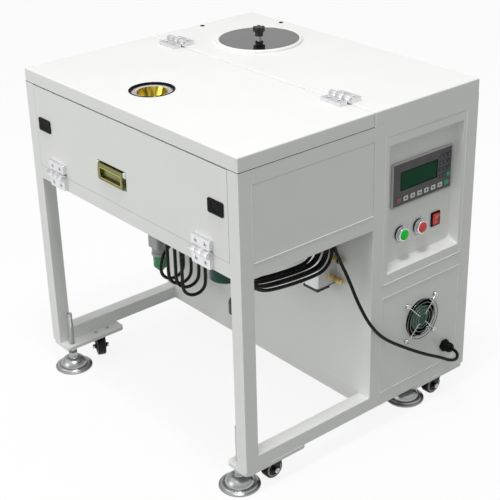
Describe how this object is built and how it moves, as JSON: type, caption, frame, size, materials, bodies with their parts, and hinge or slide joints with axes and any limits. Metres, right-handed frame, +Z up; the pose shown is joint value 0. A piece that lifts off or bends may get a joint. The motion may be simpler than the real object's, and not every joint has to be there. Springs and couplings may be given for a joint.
{
  "type": "reflow oven",
  "caption": "White wheeled process oven table with hinged lid, gold heat port, drop-down front door, polished hatch and a rear control cabinet with display, fan and air line.",
  "frame": {"origin": "middle of the footprint on the floor, below the levelling feet", "axes": "+X to the side with the control panel, +Y from the door to the back of the cabinet, +Z up"},
  "size_m": [0.7547, 0.642, 0.7435],
  "materials": {
    "white_paint": "satin powder coat",
    "hinge_metal": "satin plated casting",
    "polished_steel": "mirror polished",
    "chrome_plate": "polished",
    "zinc_steel": "zinc plated",
    "black_plastic": "fine matte",
    "fan_plastic": "satin",
    "cord_jacket": "satin",
    "hose_black": "glossy",
    "brass_bright": "machined",
    "pull_brass": "lacquered",
    "gold_reflector": "mirror polished",
    "bowl_green": "clear tinted",
    "filter_grey": "satin",
    "valve_alloy": "satin",
    "tank_green": "gloss",
    "display_grey": "fine matte",
    "display_glass": "clear",
    "button_green": "gloss",
    "button_red": "gloss",
    "wheel_rubber": "satin",
    "module_case": "satin",
    "supply_case": "brushed",
    "fork_black": "black enamel",
    "lamp_glass": "clear"
  },
  "bodies": {
    "cabinet": {"frame_posts": "white_paint", "frame_rails": "white_paint", "foot_plates": "white_paint", "rear_top_cover": "white_paint", "side_panels": "white_paint", "cabinet_walls": "white_paint", "fan_panel": "white_paint", "control_panel": "white_paint", "deck_plates": "white_paint", "hmi_housing": "display_grey", "hmi_screen": "display_glass", "button_collars": "chrome_plate", "rocker_frame": "black_plastic", "fan_housing": "fan_plastic", "fan_guard": "chrome_plate", "cable_gland": "black_plastic", "power_cable": "cord_jacket", "power_cable_coil": "cord_jacket", "power_plug": "black_plastic", "cord_hangers": "zinc_steel", "air_filter": "filter_grey", "air_filter_bowl": "bowl_green", "air_hose": "hose_black", "valve_block": "valve_alloy", "brass_fittings": "brass_bright", "air_reservoir": "tank_green", "hinge_fixed_leaves": "hinge_metal", "caster_swivel_plates": "zinc_steel", "power_supply": "supply_case", "controller_module": "module_case"},
    "lid": {"top_lid": "white_paint", "lid_hinge_leaves": "hinge_metal", "reflector_trim": "black_plastic", "reflector_ring": "polished_steel", "heat_reflector": "gold_reflector", "heater_lamp": "lamp_glass"},
    "hatch": {"hatch_cover": "polished_steel"},
    "hatch_knob": {"star_knob": "black_plastic"},
    "door": {"front_door": "white_paint", "door_hinge_leaves": "hinge_metal", "latch_frames": "black_plastic"},
    "door_pull": {"pull_handle": "pull_brass"},
    "latch_left": {"latch_button_left": "black_plastic"},
    "latch_right": {"latch_button_right": "black_plastic"},
    "start": {"start_button": "button_green"},
    "stop": {"stop_button": "button_red"},
    "rocker": {"rocker_paddle": "button_red"},
    "fan": {"fan_impeller": "fan_plastic"},
    "caster_front_left": {"caster_fork_front_left": "fork_black"},
    "wheel_front_left": {"caster_wheel_front_left": "wheel_rubber"},
    "foot_front_left": {"levelling_foot_front_left": "chrome_plate"},
    "caster_front_right": {"caster_fork_front_right": "fork_black"},
    "wheel_front_right": {"caster_wheel_front_right": "wheel_rubber"},
    "foot_front_right": {"levelling_foot_front_right": "chrome_plate"},
    "caster_rear_left": {"caster_fork_rear_left": "fork_black"},
    "wheel_rear_left": {"caster_wheel_rear_left": "wheel_rubber"},
    "foot_rear_left": {"levelling_foot_rear_left": "chrome_plate"},
    "caster_rear_right": {"caster_fork_rear_right": "fork_black"},
    "wheel_rear_right": {"caster_wheel_rear_right": "wheel_rubber"},
    "foot_rear_right": {"levelling_foot_rear_right": "chrome_plate"}
  },
  "joints": [
    {"name": "lid_hinge", "type": "hinge", "parent": "cabinet", "child": "lid", "pos_m": [0, 0.03, 0.7205], "axis": [-1, 0, 0], "range_deg": [0, 110]},
    {"name": "door_hinge", "type": "hinge", "parent": "cabinet", "child": "door", "pos_m": [0, -0.3075, 0.5025], "axis": [1, 0, 0], "range_deg": [0, 170]},
    {"name": "door_pull_pivot", "type": "hinge", "parent": "door", "child": "door_pull", "pos_m": [-0.045, -0.2985, 0.574], "axis": [-1, 0, 0], "range_deg": [0, 90]},
    {"name": "latch_left_press", "type": "slide", "parent": "door", "child": "latch_left", "axis": [0, 1, 0], "range_m": [0, 0.003], "stiffness_N_per_m": 900},
    {"name": "latch_right_press", "type": "slide", "parent": "door", "child": "latch_right", "axis": [0, 1, 0], "range_m": [0, 0.003], "stiffness_N_per_m": 900},
    {"name": "start_press", "type": "slide", "parent": "cabinet", "child": "start", "axis": [-1, 0, 0], "range_m": [0, 0.004], "stiffness_N_per_m": 700},
    {"name": "stop_press", "type": "slide", "parent": "cabinet", "child": "stop", "axis": [-1, 0, 0], "range_m": [0, 0.004], "stiffness_N_per_m": 700},
    {"name": "rocker_tilt", "type": "hinge", "parent": "cabinet", "child": "rocker", "pos_m": [0.325, 0.234, 0.427], "axis": [0, -1, 0], "range_deg": [0, 18]},
    {"name": "hatch_lift", "type": "slide", "parent": "cabinet", "child": "hatch", "axis": [0, 0, 1], "range_m": [0, 0.12]},
    {"name": "hatch_knob_turn", "type": "hinge", "parent": "hatch", "child": "hatch_knob", "pos_m": [-0.155, 0.178, 0.72], "axis": [0, 0, 1], "continuous": true},
    {"name": "fan_spin", "type": "hinge", "parent": "cabinet", "child": "fan", "pos_m": [0.335, 0.176, 0.226], "axis": [1, 0, 0], "continuous": true},
    {"name": "caster_front_left_swivel", "type": "hinge", "parent": "cabinet", "child": "caster_front_left", "pos_m": [-0.322, -0.195, 0.045], "axis": [0, 0, 1], "continuous": true},
    {"name": "wheel_front_left_roll", "type": "hinge", "parent": "caster_front_left", "child": "wheel_front_left", "pos_m": [-0.30531, -0.20174, 0.0225], "axis": [0.3746, 0.9272, 0], "continuous": true},
    {"name": "foot_front_left_level", "type": "slide", "parent": "cabinet", "child": "foot_front_left", "axis": [0, 0, -1], "range_m": [-0.006, 0.02]},
    {"name": "caster_front_right_swivel", "type": "hinge", "parent": "cabinet", "child": "caster_front_right", "pos_m": [0.322, -0.195, 0.045], "axis": [0, 0, 1], "continuous": true},
    {"name": "wheel_front_right_roll", "type": "hinge", "parent": "caster_front_right", "child": "wheel_front_right", "pos_m": [0.322, -0.213, 0.0225], "axis": [1, 0, 0], "continuous": true},
    {"name": "foot_front_right_level", "type": "slide", "parent": "cabinet", "child": "foot_front_right", "axis": [0, 0, -1], "range_m": [-0.006, 0.02]},
    {"name": "caster_rear_left_swivel", "type": "hinge", "parent": "cabinet", "child": "caster_rear_left", "pos_m": [-0.322, 0.268, 0.045], "axis": [0, 0, 1], "continuous": true},
    {"name": "wheel_rear_left_roll", "type": "hinge", "parent": "caster_rear_left", "child": "wheel_rear_left", "pos_m": [-0.33232, 0.25326, 0.0225], "axis": [0.8192, -0.5736, 0], "continuous": true},
    {"name": "foot_rear_left_level", "type": "slide", "parent": "cabinet", "child": "foot_rear_left", "axis": [0, 0, -1], "range_m": [-0.006, 0.02]},
    {"name": "caster_rear_right_swivel", "type": "hinge", "parent": "cabinet", "child": "caster_rear_right", "pos_m": [0.322, 0.268, 0.045], "axis": [0, 0, 1], "continuous": true},
    {"name": "wheel_rear_right_roll", "type": "hinge", "parent": "caster_rear_right", "child": "wheel_rear_right", "pos_m": [0.322, 0.25, 0.0225], "axis": [1, 0, 0], "continuous": true},
    {"name": "foot_rear_right_level", "type": "slide", "parent": "cabinet", "child": "foot_rear_right", "axis": [0, 0, -1], "range_m": [-0.006, 0.02]}
  ]
}
